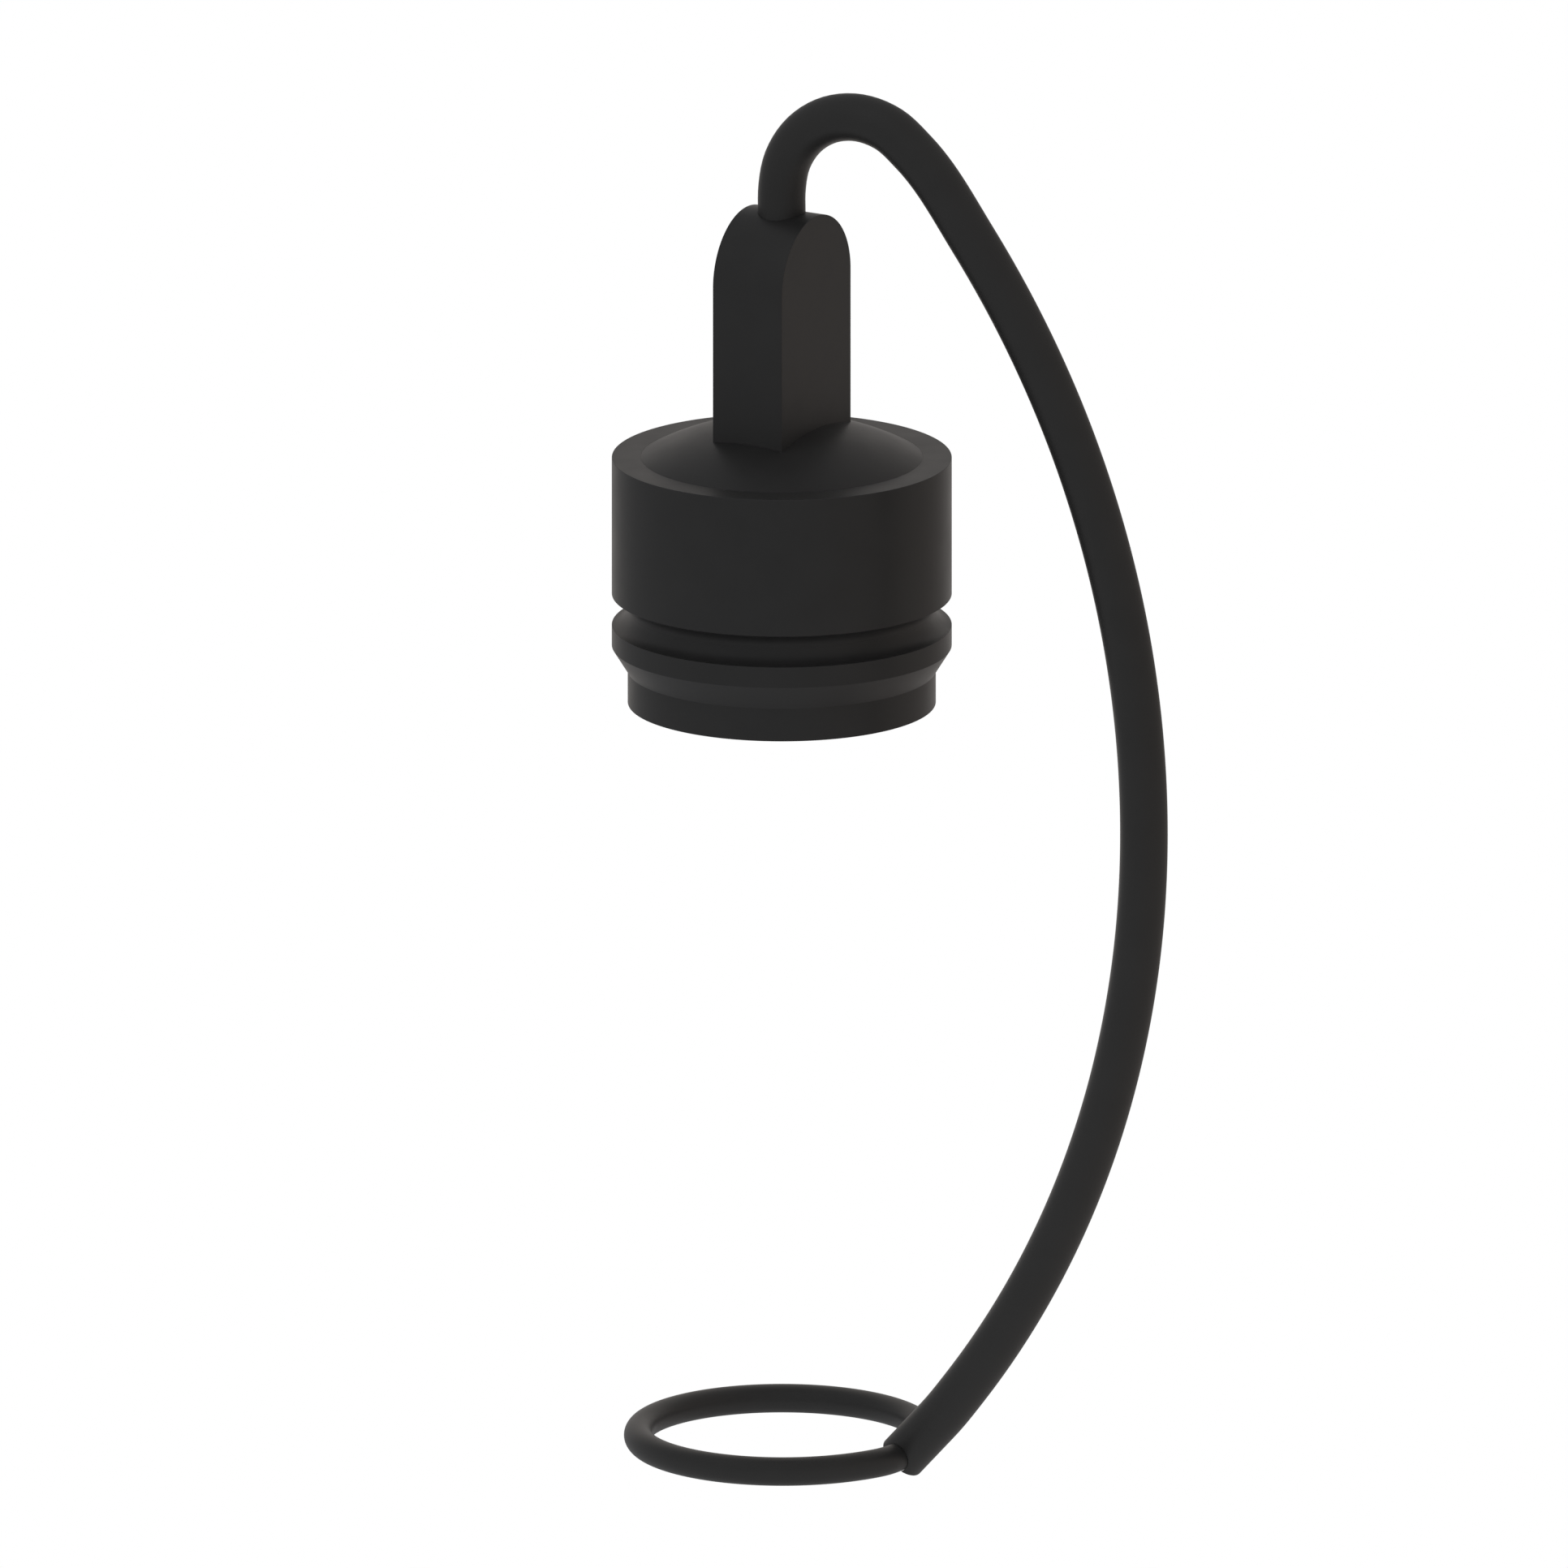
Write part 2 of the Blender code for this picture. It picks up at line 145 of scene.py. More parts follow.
def make_moulded_skin():
    """Shader group: the fine grain, slow mottling and rubbed edges of a moulded surface."""
    group = bpy.data.node_groups.new("moulded_skin", "ShaderNodeTree")
    sockets = (
        ("Colour", "INPUT", "NodeSocketColor"),
        ("Mottle", "INPUT", "NodeSocketFloat"),
        ("Roughness", "INPUT", "NodeSocketFloat"),
        ("Roughness Spread", "INPUT", "NodeSocketFloat"),
        ("Grain Scale", "INPUT", "NodeSocketFloat"),
        ("Edge Shine", "INPUT", "NodeSocketFloat"),
        ("Colour", "OUTPUT", "NodeSocketColor"),
        ("Roughness", "OUTPUT", "NodeSocketFloat"),
        ("Height", "OUTPUT", "NodeSocketFloat"),
    )
    for name, side, kind in sockets:
        group.interface.new_socket(name, in_out=side, socket_type=kind)
    given = add_node(group, "NodeGroupInput").outputs
    place = add_node(group, "ShaderNodeTexCoord").outputs["Object"]
    grain = add_node(group, "ShaderNodeTexNoise", {
        "Vector": place, "Scale": given["Grain Scale"], "Detail": GRAIN_DETAIL,
    })
    clouds = add_node(group, "ShaderNodeTexNoise", {
        "Vector": place, "Scale": CLOUD_SCALE, "Detail": CLOUD_DETAIL,
    })
    swing = add_node(group, "ShaderNodeMapRange", {
        "Value": clouds.outputs["Fac"],
        "From Min": CLOUD_RANGE[0],
        "From Max": CLOUD_RANGE[1],
        "To Min": -1.0,
        "To Max": 1.0,
    }).outputs["Result"]
    rubbed = add_node(group, "ShaderNodeAttribute", attribute_name="edge").outputs["Fac"]

    mottle = add_node(group, "ShaderNodeMath", {
        0: swing, 1: given["Mottle"], 2: 1.0,
    }, operation="MULTIPLY_ADD")
    shine = add_node(group, "ShaderNodeMath", {
        0: rubbed, 1: given["Edge Shine"], 2: mottle.outputs[0],
    }, operation="MULTIPLY_ADD")
    colour = add_node(group, "ShaderNodeVectorMath", {
        0: given["Colour"], "Scale": shine.outputs[0],
    }, operation="SCALE")
    patchy = add_node(group, "ShaderNodeMath", {
        0: swing, 1: given["Roughness Spread"], 2: given["Roughness"],
    }, operation="MULTIPLY_ADD")
    polish = add_node(group, "ShaderNodeMath", {
        0: rubbed, 1: given["Roughness Spread"],
    }, operation="MULTIPLY")
    roughness = add_node(group, "ShaderNodeMath", {
        0: patchy.outputs[0], 1: polish.outputs[0],
    }, operation="SUBTRACT")
    add_node(group, "NodeGroupOutput", {
        "Colour": colour.outputs[0], "Roughness": roughness.outputs[0], "Height": grain.outputs["Fac"],
    })
    return group


def moulded_finish(name, colour, roughness, grain_scale, grain_depth):
    """A moulded surface: the skin group's colour, roughness and grain on a Principled shader."""
    material = bpy.data.materials.new(name)
    material.use_nodes = True
    tree = material.node_tree
    skin = add_node(tree, "ShaderNodeGroup", {
        "Colour": colour,
        "Mottle": MOULD_MOTTLE,
        "Roughness": roughness,
        "Roughness Spread": MOULD_ROUGHNESS_SPREAD,
        "Grain Scale": grain_scale,
        "Edge Shine": MOULD_EDGE_SHINE,
    }, node_tree=moulded_skin)
    bump = add_node(tree, "ShaderNodeBump", {"Height": skin.outputs["Height"], "Distance": grain_depth})
    shader = tree.nodes["Principled BSDF"]
    shader.inputs["Sheen Weight"].default_value = SATIN_SHEEN
    shader.inputs["Sheen Roughness"].default_value = SATIN_SHEEN_ROUGHNESS
    tree.links.new(skin.outputs["Colour"], shader.inputs["Base Color"])
    tree.links.new(skin.outputs["Roughness"], shader.inputs["Roughness"])
    tree.links.new(bump.outputs["Normal"], shader.inputs["Normal"])
    return material


def arc(centre, radius, start, end, steps):
    """Points of an outline on an arc from one angle to another, in degrees, with no rounding."""
    points = []
    for step in range(steps + 1):
        angle = math.radians(start + (end - start) * step / steps)
        points.append((centre[0] + radius * math.cos(angle), centre[1] + radius * math.sin(angle), 0))
    return points


def rounded(corners):
    """A closed outline from corners (across, up, rounding), each one turned into an arc."""
    points = []
    for index, (across, up, rounding) in enumerate(corners):
        here = Vector((across, up))
        if not rounding:
            points.append(here)
            continue
        before = (Vector(corners[index - 1][:2]) - here).normalized()
        after = (Vector(corners[(index + 1) % len(corners)][:2]) - here).normalized()
        half = before.angle(after) / 2
        middle = here + (before + after).normalized() * rounding / math.sin(half)
        start = here + before * rounding / math.tan(half) - middle
        end = here + after * rounding / math.tan(half) - middle
        for step in range(ROUND_STEPS + 1):
            points.append(middle + start.lerp(end, step / ROUND_STEPS).normalized() * rounding)
    return points


def lathe(outline, segments, ripple=None):
    """A closed form turned about Z from (radius, height) points. A ripple adds to the radius."""
    form = bmesh.new()
    rings = []
    for radius, height in outline:
        ring = []
        for step in range(segments if radius > 0 else 1):
            angle = math.tau * step / segments
            reach = radius + ripple(radius, height, angle) if ripple else radius
            ring.append(form.verts.new((reach * math.cos(angle), reach * math.sin(angle), height)))
        rings.append(ring)
    for low, high in zip(rings, rings[1:] + rings[:1]):
        if len(low) == len(high) == 1:
            continue
        for step in range(segments):
            ahead = (step + 1) % segments
            corners = [low[step % len(low)], low[ahead % len(low)]]
            corners += [high[ahead % len(high)], high[step % len(high)]]
            form.faces.new(list(dict.fromkeys(corners)))
    return form


def shape(name, form):
    """An object made from a closed form, with its faces outward."""
    bmesh.ops.recalc_face_normals(form, faces=form.faces)
    mesh = bpy.data.meshes.new(name)
    form.to_mesh(mesh)
    form.free()
    piece = bpy.data.objects.new(name, mesh)
    bpy.context.collection.objects.link(piece)
    return piece


def dress(piece, material):
    """Gives a piece its finish and smooth shading, with wide flat faces kept flat.

    Rounded edges, which are strips of narrow faces, are marked as rubbed. A corner left square meets
    a neighbour, so it is protected.
    """
    mesh = piece.data
    mesh.materials.clear()
    mesh.materials.append(material)
    mesh.shade_smooth()
    mesh.set_sharp_from_angle(angle=SHARP_ANGLE)
    for face in mesh.polygons:
        face.use_smooth = face.area < FLAT_FACE_AREA
    form = bmesh.new()
    form.from_mesh(mesh)
    marks = []
    for corner in form.verts:
        bend = max(edge.calc_face_angle_signed(0) for edge in corner.link_edges)
        width = max(2 * face.calc_area() / face.calc_perimeter() for face in corner.link_faces)
        rubbed = RUBBED_BEND < bend < SQUARE_BEND and width < NARROW_FACE
        marks.append(1.0 if rubbed else 0.0)
    form.free()
    mesh.attributes.new("edge", "FLOAT", "POINT").data.foreach_set("value", marks)
    shading = piece.modifiers.new("even_shading", "WEIGHTED_NORMAL")
    shading.keep_sharp = True


moulded_skin = make_moulded_skin()
black_nylon = moulded_finish(
    "black_nylon", NYLON_COLOUR, NYLON_ROUGHNESS, NYLON_GRAIN_SCALE, NYLON_GRAIN_DEPTH
)

nose_low, nose_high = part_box("nose_piece")
seal_low, seal_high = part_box("nose_seal")
groove_middle = LAND_TOP + GROOVE_RADIUS
nose_seam = groove_middle - GROOVE_SEAM / 2
nose_outline = [
    (SCREW_HOLE_RADIUS, HEAD_RECESS_DEPTH, MOULD_ROUND),
    (HEAD_RECESS_RADIUS, HEAD_RECESS_DEPTH, MOULD_ROUND),
    (HEAD_RECESS_RADIUS, nose_low.z, MOUTH_ROUND),
    (NOSE_RADIUS, nose_low.z, MOULD_ROUND),
    (NOSE_RADIUS, NOSE_HEIGHT, MOULD_ROUND),
    (plug_radius, LAND_BASE, MOULD_ROUND),
    (plug_radius, LAND_TOP, MOULD_ROUND / 2),
]
nose_outline += arc((plug_radius, groove_middle), GROOVE_RADIUS, 270, 180, GROOVE_STEPS)[1:-1]
nose_outline += [
    (plug_radius - GROOVE_RADIUS, nose_seam, 0),
    (SPIGOT_RADIUS, nose_seam, MOULD_ROUND),
    (SPIGOT_RADIUS, seal_low.z - SEAL_ROOM, MOULD_ROUND),
    (SEAL_GROOVE_RADIUS, seal_low.z - SEAL_ROOM, MOULD_ROUND),
    (SEAL_GROOVE_RADIUS, seal_high.z + SEAL_ROOM, MOULD_ROUND),
    (SPIGOT_RADIUS, seal_high.z + SEAL_ROOM, MOULD_ROUND),
    (SPIGOT_RADIUS, nose_high.z, MOUTH_ROUND),
    (STEM_HOLE_RADIUS, nose_high.z, MOUTH_ROUND),
    (STEM_HOLE_RADIUS, STEM_SOCKET_FLOOR, MOULD_ROUND),
    (SCREW_HOLE_RADIUS, STEM_SOCKET_FLOOR, MOULD_ROUND),
]
nose = shape("nose_shell", lathe(rounded(nose_outline), PLUG_SEGMENTS))
dress(nose, black_nylon)
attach(nose, "plug")
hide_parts("nose_piece")


# Nose seal
# The O-ring in the spigot's groove, moulded in black rubber. The body's bore and the groove's floor
# squeeze it, so its section is a little flat on those two sides.
RUBBER_COLOUR = (0.0135, 0.0134, 0.0133, 1)
RUBBER_ROUGHNESS = 0.44
RUBBER_GRAIN_SCALE = 7000
RUBBER_GRAIN_DEPTH = 0.000003
SEAL_SQUEEZE = 0.94
SEAL_STEPS = 32

black_rubber = moulded_finish(
    "black_rubber", RUBBER_COLOUR, RUBBER_ROUGHNESS, RUBBER_GRAIN_SCALE, RUBBER_GRAIN_DEPTH
)
seal_half = (seal_high.z - seal_low.z) / 2
seal_centre = (seal_high.x - seal_half, seal_low.z + seal_half)
seal_outline = []
for across, up, _ in arc(seal_centre, seal_half, 0, 360, SEAL_STEPS)[:-1]:
    seal_outline.append((seal_centre[0] + (across - seal_centre[0]) * SEAL_SQUEEZE, up))
seal = shape("nose_o_ring", lathe(seal_outline, PLUG_SEGMENTS))
dress(seal, black_rubber)
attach(seal, "plug")
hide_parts("nose_seal")


# Plug body
# The sleeve outside: flat rim, plain skirt and the upper half of the groove, moulded in the same
# black nylon. It drops over the spigot, and its deck carries the gasket and the handle's flange.
DECK_TOP = 0.0211
DECK_BASE = 0.0181
CAVITY_RADIUS = 0.0123
FLANGE_RECESS_RADIUS = 0.01328

body_seam = groove_middle + GROOVE_SEAM / 2
body_outline = [
    (CAVITY_RADIUS, body_seam, MOUTH_ROUND),
    (plug_radius - GROOVE_RADIUS, body_seam, 0),
]
body_outline += arc((plug_radius, groove_middle), GROOVE_RADIUS, 180, 90, GROOVE_STEPS)[1:-1]
body_outline += [
    (plug_radius, groove_middle + GROOVE_RADIUS, MOULD_ROUND / 2),
    (plug_radius, rim_level, MOULD_ROUND),
    (FLANGE_RECESS_RADIUS, rim_level, 0),
    (FLANGE_RECESS_RADIUS, DECK_TOP, MOULD_ROUND),
    (STEM_HOLE_RADIUS, DECK_TOP, MOULD_ROUND),
    (STEM_HOLE_RADIUS, DECK_BASE, MOULD_ROUND),
    (CAVITY_RADIUS, DECK_BASE, MOULD_ROUND),
]
body = shape("plug_sleeve", lathe(rounded(body_outline), PLUG_SEGMENTS))
dress(body, black_nylon)
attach(body, "plug")
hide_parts("plug_body")


# Handle gasket
# A flat rubber ring, cut from sheet, between the body's deck and the handle's flange. Its cut edges
# bulge a little where the screw squeezes it.
GASKET_BULGE = 0.00035

gasket_low, gasket_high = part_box("handle_gasket")
gasket_outline = [
    (STEM_HOLE_RADIUS, gasket_low.z, GASKET_BULGE),
    (gasket_high.x, gasket_low.z, GASKET_BULGE),
    (gasket_high.x, gasket_high.z, GASKET_BULGE),
    (STEM_HOLE_RADIUS, gasket_high.z, GASKET_BULGE),
]
gasket = shape("handle_flange_gasket", lathe(rounded(gasket_outline), PLUG_SEGMENTS))
dress(gasket, black_rubber)
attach(gasket, "plug")
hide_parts("handle_gasket")


# Pull handle
# Dome, arch-topped tab and hollow stem in one black nylon moulding. The flange sits on the gasket,
# the screw pulls on the thread in the stem, and the tether comes out through the top of the tab.
DOME_RADIUS = 0.01327
DOME_HEIGHT = 0.00343
DOME_STEPS = 28
FLANGE_BASE = 0.0225
STEM_RADIUS = 0.0065
TAB_THICKNESS = 0.0075
TAB_WIDTH = 0.0130
TAB_ROUND = 0.00005
TAB_ROUND_PROFILE = 0.5
TAB_ARCH_STEPS = 96
THREAD_TOP = 0.0170
FERRULE_POCKET_RADIUS = 0.0035
FERRULE_POCKET_TOP = 0.0245
TETHER_HOLE_RADIUS = 0.00227
CUT_MARGIN = 0.001
WELD_REACH = 0.000001
HOLE_SEGMENTS = 96


def combine(piece, tool, operation):
    """Joins a piece with a tool, or cuts it by the tool, which is then thrown away.

    Corners that end up in one place are welded together.
    """
    step = piece.modifiers.new(operation, "BOOLEAN")
    step.operation = operation
    step.object = tool
    shaped = piece.evaluated_get(bpy.context.evaluated_depsgraph_get())
    piece.data = bpy.data.meshes.new_from_object(shaped)
    piece.modifiers.clear()
    bpy.data.objects.remove(tool)
    form = bmesh.new()
    form.from_mesh(piece.data)
    bmesh.ops.remove_doubles(form, verts=form.verts, dist=WELD_REACH)
    bmesh.ops.dissolve_degenerate(form, edges=form.edges, dist=WELD_REACH)
    form.to_mesh(piece.data)
    form.free()


handle_low, handle_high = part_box("pull_handle")
tab_top = handle_high.z
dome_sphere = (DOME_RADIUS**2 + DOME_HEIGHT**2) / (2 * DOME_HEIGHT)
dome_centre = (0, rim_level + DOME_HEIGHT - dome_sphere)
dome_edge = math.degrees(math.acos(DOME_RADIUS / dome_sphere))
handle_outline = [(0, rim_level + DOME_HEIGHT, 0)]
handle_outline += arc(dome_centre, dome_sphere, 90, dome_edge, DOME_STEPS)[1:-1]
handle_outline += [
    (DOME_RADIUS, rim_level, 0),
    (DOME_RADIUS, FLANGE_BASE, MOULD_ROUND),
    (STEM_RADIUS, FLANGE_BASE, MOULD_ROUND),
    (STEM_RADIUS, handle_low.z, MOUTH_ROUND),
    (0, handle_low.z, 0),
]
handle = shape("handle_moulding", lathe(rounded(handle_outline), PLUG_SEGMENTS))

arch_radius = TAB_WIDTH / 2
tab_side = [(arch_radius, rim_level, 0)]
tab_side += arc((0, tab_top - arch_radius), arch_radius, 0, 180, TAB_ARCH_STEPS)
tab_side.append((-arch_radius, rim_level, 0))
tab_form = bmesh.new()
tab_corners = [tab_form.verts.new((-TAB_THICKNESS / 2, y, z)) for y, z, _ in tab_side]
tab_face = tab_form.faces.new(tab_corners)
tab_drawn = bmesh.ops.extrude_face_region(tab_form, geom=[tab_face])["geom"]
tab_far = [item for item in tab_drawn if isinstance(item, bmesh.types.BMVert)]
bmesh.ops.translate(tab_form, verts=tab_far, vec=(TAB_THICKNESS, 0, 0))
# The edges round the tab's two flat faces; the others run across its thickness.
tab_edges = []
for edge in tab_form.edges:
    one_end, other_end = edge.verts
    if abs(one_end.co.x - other_end.co.x) < TAB_THICKNESS / 2:
        tab_edges.append(edge)
bmesh.ops.bevel(
    tab_form,
    geom=tab_edges,
    offset=TAB_ROUND,
    segments=ROUND_STEPS,
    profile=TAB_ROUND_PROFILE,
    affect="EDGES",
)
combine(handle, shape("tab_join", tab_form), "UNION")

handle_bore = [
    (0, handle_low.z - CUT_MARGIN, 0),
    (SCREW_HOLE_RADIUS, handle_low.z - CUT_MARGIN, 0),
    (SCREW_HOLE_RADIUS, THREAD_TOP, 0),
    (FERRULE_POCKET_RADIUS, THREAD_TOP, 0),
    (FERRULE_POCKET_RADIUS, FERRULE_POCKET_TOP, 0),
    (TETHER_HOLE_RADIUS, FERRULE_POCKET_TOP, 0),
    (TETHER_HOLE_RADIUS, tab_top + CUT_MARGIN, 0),
    (0, tab_top + CUT_MARGIN, 0),
]
combine(handle, shape("handle_bore_cut", lathe(rounded(handle_bore), HOLE_SEGMENTS)), "DIFFERENCE")
dress(handle, black_nylon)
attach(handle, "plug")
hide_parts("pull_handle")


# Tether eye
# The tether's lower end, moulded on in the same rubber and of the same width. Its open cross hole
# snaps over the ring's wire and holds it straight, so that the ring can tip in it.
EYE_LEAN = math.radians(43)
EYE_LENGTH = 0.0050
EYE_LIP = 0.0006
EYE_CLEARANCE = 0.000025
EYE_ROUND = 0.00005
TETHER_RADIUS = 0.00225
TETHER_SEAM = 0.000004
TETHER_SIDES = 64

ring_low, ring_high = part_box("anchor_ring")
wire_radius = (ring_high.z - ring_low.z) / 2
ring_radius = ring_high.x - wire_radius
ring_level = ring_low.z + wire_radius
ring_point = Vector((ring_radius, 0, ring_level))
eye_direction = Vector((-math.sin(EYE_LEAN), 0, -math.cos(EYE_LEAN)))
eye_turn = Matrix.Translation(ring_point) @ Matrix.Rotation(EYE_LEAN - math.pi, 4, "Y")

eye_outline = [
    (0, -EYE_LENGTH, 0),
    (TETHER_RADIUS, -EYE_LENGTH, 0),
    (TETHER_RADIUS, EYE_LIP, EYE_ROUND),
    (0, EYE_LIP, 0),
]
eye = shape("tether_end_eye", lathe(rounded(eye_outline), TETHER_SIDES))
eye.data.transform(eye_turn)
hole_reach = TETHER_RADIUS + CUT_MARGIN
hole_radius = wire_radius + EYE_CLEARANCE
hole_outline = [
    (0, -hole_reach),
    (hole_radius, -hole_reach),
    (hole_radius, hole_reach),
    (0, hole_reach),
]
eye_hole = shape("eye_hole_cut", lathe(hole_outline, HOLE_SEGMENTS))
eye_hole.data.transform(Matrix.Translation(ring_point) @ Matrix.Rotation(math.pi / 2, 4, "X"))
combine(eye, eye_hole, "DIFFERENCE")
dress(eye, black_rubber)
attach(eye, "tether")
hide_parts("tether_eye")


# Tether cord
# A round cord of black rubber, drawn through a die and set in its arch. Its upper end is trapped in
# the handle by the ferrule, and it turns there; its lower end carries the eye.
TETHER_BASE = 0.0185
TETHER_STEP = 0.0008
DIE_LINE_SCALE = 2600
DIE_LINE_STRETCH = 0.02
DIE_LINE_SHARE = 0.5
TETHER_ROUTE = [
    (0.00000, 0.00188),
    (0.00064, 0.00509),
    (0.00248, 0.00781),
    (0.00523, 0.00960),
    (0.00846, 0.01019),
    (0.01167, 0.00948),
    (0.01435, 0.00759),
    (0.02078, -0.00006),
    (0.02636, -0.00834),
    (0.03102, -0.01718),
    (0.03468, -0.02647),
    (0.03731, -0.03610),
    (0.03887, -0.04597),
    (0.03935, -0.05594),
    (0.03875, -0.06591),
    (0.03706, -0.07576),
    (0.03431, -0.08536),
    (0.03053, -0.09460),
    (0.02577, -0.10338),
    (0.02008, -0.11159),
]


def smooth_route(points, leave, arrive):
    """Points along a smooth curve through the route, which leaves and arrives in given directions."""
    slopes = [leave]
    for left, here, right in zip(points, points[1:], points[2:]):
        back, ahead = (here - left).length, (right - here).length
        slopes.append(((here - left) / back * ahead + (right - here) / ahead * back) / (back + ahead))
    slopes.append(arrive)
    placed = [points[0]]
    for start, end, first, last in zip(points, points[1:], slopes, slopes[1:]):
        span = (end - start).length
        steps = math.ceil(span / TETHER_STEP)
        for step in range(1, steps + 1):
            t = step / steps
            from_ends = start * (1 + 2 * t) * (1 - t) ** 2 + end * (3 - 2 * t) * t**2
            from_slopes = first * t * (1 - t) ** 2 + last * (t - 1) * t**2
            placed.append(from_ends + from_slopes * span)
    return placed


def drawn_rubber():
    """The moulded rubber with the die's faint lines along the cord, laid out on its straight shape."""
    material = black_rubber.copy()
    material.name = "drawn_rubber"
    tree = material.node_tree
    bump = next(node for node in tree.nodes if node.type == "BUMP")
    grain = bump.inputs["Height"].links[0].from_socket
    straight = add_node(tree, "ShaderNodeAttribute", attribute_name="straight").outputs["Vector"]
    stretched = add_node(tree, "ShaderNodeVectorMath", {
        0: straight, 1: (1, 1, DIE_LINE_STRETCH),
    }, operation="MULTIPLY")
    lines = add_node(tree, "ShaderNodeTexNoise", {
        "Vector": stretched.outputs[0], "Scale": DIE_LINE_SCALE,
    })
    both = add_node(tree, "ShaderNodeMath", {
        0: lines.outputs["Fac"], 1: DIE_LINE_SHARE, 2: grain,
    }, operation="MULTIPLY_ADD")
    tree.links.new(both.outputs[0], bump.inputs["Height"])
    return material


swivel_point = Vector((0, 0, tab_top))
route = [Vector((0, 0, TETHER_BASE)), swivel_point]
route += [swivel_point + Vector((out, 0, up)) for out, up in TETHER_ROUTE]
route.append(ring_point - eye_direction * (EYE_LENGTH + TETHER_SEAM))
path = smooth_route(route, Vector((0, 0, 1)), eye_direction)

cord_form = bmesh.new()
cord_rings = []
straightened = []
run = 0
for index, centre in enumerate(path):
    behind = path[max(index - 1, 0)]
    run += (centre - behind).length
    heading = path[min(index + 1, len(path) - 1)] - behind
    if index == 0:
        heading = Vector((0, 0, 1))
    if index == len(path) - 1:
        heading = eye_direction
    outward = heading.normalized().cross(Vector((0, 1, 0)))
    ring = []
    for side in range(TETHER_SIDES):
        angle = math.tau * side / TETHER_SIDES
        across, along_y = TETHER_RADIUS * math.cos(angle), TETHER_RADIUS * math.sin(angle)
        ring.append(cord_form.verts.new(centre + outward * across + Vector((0, along_y, 0))))
        straightened += [across, along_y, run]
    cord_rings.append(ring)
for low, high in zip(cord_rings, cord_rings[1:]):
    for side in range(TETHER_SIDES):
        ahead = (side + 1) % TETHER_SIDES
        cord_form.faces.new((low[side], low[ahead], high[ahead], high[side]))
cord_form.faces.new(cord_rings[0])
cord_form.faces.new(cord_rings[-1])
cord = shape("tether_drawn_cord", cord_form)
cord.data.attributes.new("straight", "FLOAT_VECTOR", "POINT").data.foreach_set("vector", straightened)
dress(cord, drawn_rubber())
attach(cord, "tether")
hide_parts("tether_cord")


# Swivel washer
# A thin thrust washer of natural nylon between the ferrule and the handle, on which the tether turns.
# It is stamped from sheet, so its upper edges are round and its lower ones nearly square.
WASHER_COLOUR = (0.75, 0.74, 0.70, 1)
WASHER_ROUGHNESS = 0.42
WASHER_GRAIN_SCALE = 4000
WASHER_GRAIN_DEPTH = 0.000004
WASHER_BORE_RADIUS = 0.00245
WASHER_ROUND = 0.00020

washer_low, washer_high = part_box("swivel_washer")
natural_nylon = moulded_finish(
    "natural_nylon", WASHER_COLOUR, WASHER_ROUGHNESS, WASHER_GRAIN_SCALE, WASHER_GRAIN_DEPTH
)
washer_outline = [
    (WASHER_BORE_RADIUS, washer_low.z, MOULD_ROUND),
    (washer_high.x, washer_low.z, MOULD_ROUND),
    (washer_high.x, washer_high.z, WASHER_ROUND),
    (WASHER_BORE_RADIUS, washer_high.z, WASHER_ROUND),
]
swivel_washer = shape("swivel_thrust_washer", lathe(rounded(washer_outline), HOLE_SEGMENTS))
dress(swivel_washer, natural_nylon)
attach(swivel_washer, "tether")
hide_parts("swivel_washer")


# Cord ferrule
# A soft aluminium cup, pressed from sheet and crimped on the cord's end in two rings of dents, so that
# the cord can't be pulled out through the tab.
ALUMINIUM_COLOUR = (0.72, 0.72, 0.73, 1)
ALUMINIUM_ROUGHNESS = 0.38
ALUMINIUM_LINE_SCALE = 9000
ALUMINIUM_LINE_DEPTH = 0.000003
METAL_MOTTLE = 0.06
METAL_ROUGHNESS_SPREAD = 0.05
METAL_EDGE_SHINE = 0.15
FERRULE_FLOOR = 0.0009
FERRULE_ROUND = 0.00030
CRIMP_LEVELS = (0.0196, 0.0216)
CRIMP_HALF_HEIGHT = 0.0007
CRIMP_DEPTH = 0.00012
CRIMP_DENTS = 8
FERRULE_ROWS = 40


def metal_finish(name, colour, roughness, line_scale, line_depth):
    """Bare metal with the fine rings that turning or pressing leaves round its axis."""
    material = bpy.data.materials.new(name)
    material.use_nodes = True
    tree = material.node_tree
    skin = add_node(tree, "ShaderNodeGroup", {
        "Colour": colour,
        "Mottle": METAL_MOTTLE,
        "Roughness": roughness,
        "Roughness Spread": METAL_ROUGHNESS_SPREAD,
        "Edge Shine": METAL_EDGE_SHINE,
    }, node_tree=moulded_skin)
    place = add_node(tree, "ShaderNodeTexCoord").outputs["Object"]
    flat = add_node(tree, "ShaderNodeVectorMath", {0: place, 1: (1, 1, 0)}, operation="MULTIPLY")
    from_axis = add_node(tree, "ShaderNodeVectorMath", {0: flat.outputs[0]}, operation="LENGTH")
    rings = add_node(tree, "ShaderNodeTexNoise", {
        "W": from_axis.outputs["Value"], "Scale": line_scale,
    }, noise_dimensions="1D")
    bump = add_node(tree, "ShaderNodeBump", {"Height": rings.outputs["Fac"], "Distance": line_depth})
    shader = tree.nodes["Principled BSDF"]
    shader.inputs["Metallic"].default_value = 1.0
    tree.links.new(skin.outputs["Colour"], shader.inputs["Base Color"])
    tree.links.new(skin.outputs["Roughness"], shader.inputs["Roughness"])
    tree.links.new(bump.outputs["Normal"], shader.inputs["Normal"])
    return material


